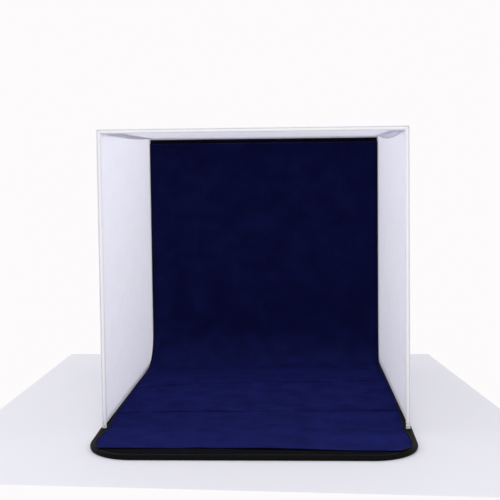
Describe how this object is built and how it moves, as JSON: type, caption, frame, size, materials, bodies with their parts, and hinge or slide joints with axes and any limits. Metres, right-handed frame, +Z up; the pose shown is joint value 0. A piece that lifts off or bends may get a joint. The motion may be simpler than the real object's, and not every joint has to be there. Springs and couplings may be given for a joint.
{
  "type": "light tent cube",
  "caption": "Open-front white fabric photo tent on a black bound base with a rounded front flap and a navy sweep backdrop; two nested portal frames fold flat onto the base.",
  "frame": {"origin": "on the table under the middle of the part's box", "axes": "+Z up, +Y from the open front to the back wall, +X to the viewer's right when looking into the opening"},
  "size_m": [0.609, 0.7886, 0.5941],
  "materials": {
    "white_fabric": "satin white translucent nylon",
    "navy_backdrop": "matt navy brushed polyester",
    "black_fabric": "matt black nylon",
    "white_plastic": "moulded nylon",
    "glass_fibre": "glass-fibre rod",
    "steel": "plated rivet"
  },
  "bodies": {
    "base": {"base_board": "black_fabric", "base_binding": "black_fabric", "fold_bead": "black_fabric", "front_left_bracket": "white_plastic", "front_left_pin": "steel", "front_right_bracket": "white_plastic", "front_right_pin": "steel", "rear_left_bracket": "white_plastic", "rear_left_pin": "steel", "rear_right_bracket": "white_plastic", "rear_right_pin": "steel", "left_wall": "white_fabric", "right_wall": "white_fabric", "roof": "white_fabric", "left_roof_flap": "white_fabric", "right_roof_flap": "white_fabric", "backdrop_sweep": "navy_backdrop", "backdrop_sweep_left_edge": "black_fabric", "backdrop_sweep_right_edge": "black_fabric"},
    "flap": {"flap_board": "black_fabric", "flap_binding": "black_fabric", "flap_hook_strip": "black_fabric", "backdrop_apron": "navy_backdrop", "backdrop_apron_left_edge": "black_fabric", "backdrop_apron_right_edge": "black_fabric"},
    "front_frame": {"front_left_foot": "white_plastic", "front_left_post": "glass_fibre", "front_left_elbow": "white_plastic", "front_left_sleeve": "white_fabric", "front_right_foot": "white_plastic", "front_right_post": "glass_fibre", "front_right_elbow": "white_plastic", "front_right_sleeve": "white_fabric", "front_top_rod": "glass_fibre", "front_top_sleeve": "white_fabric"},
    "rear_frame": {"rear_left_foot": "white_plastic", "rear_left_post": "glass_fibre", "rear_left_elbow": "white_plastic", "rear_left_sleeve": "white_fabric", "rear_right_foot": "white_plastic", "rear_right_post": "glass_fibre", "rear_right_elbow": "white_plastic", "rear_right_sleeve": "white_fabric", "rear_top_rod": "glass_fibre", "rear_top_sleeve": "white_fabric", "back_wall": "white_fabric", "back_hook_strip": "white_fabric", "backdrop_loop_strip": "black_fabric"}
  },
  "joints": [
    {"name": "flap_fold", "type": "hinge", "parent": "base", "child": "flap", "pos_m": [0, -0.23025, 0.0095], "axis": [-1, 0, 0], "range_deg": [0, 90]},
    {"name": "front_frame_fold", "type": "hinge", "parent": "base", "child": "front_frame", "pos_m": [0, -0.22025, 0.0155], "axis": [-1, 0, 0], "range_deg": [0, 88]},
    {"name": "rear_frame_fold", "type": "hinge", "parent": "base", "child": "rear_frame", "pos_m": [0, 0.37975, 0.0155], "axis": [1, 0, 0], "range_deg": [0, 88], "deforming": ["left_wall", "right_wall", "roof", "left_roof_flap", "right_roof_flap", "backdrop_sweep", "backdrop_sweep_left_edge", "backdrop_sweep_right_edge"]}
  ],
  "couplings": [
    {"joint": "front_frame_fold", "follows": "rear_frame_fold", "ratio": 1}
  ]
}
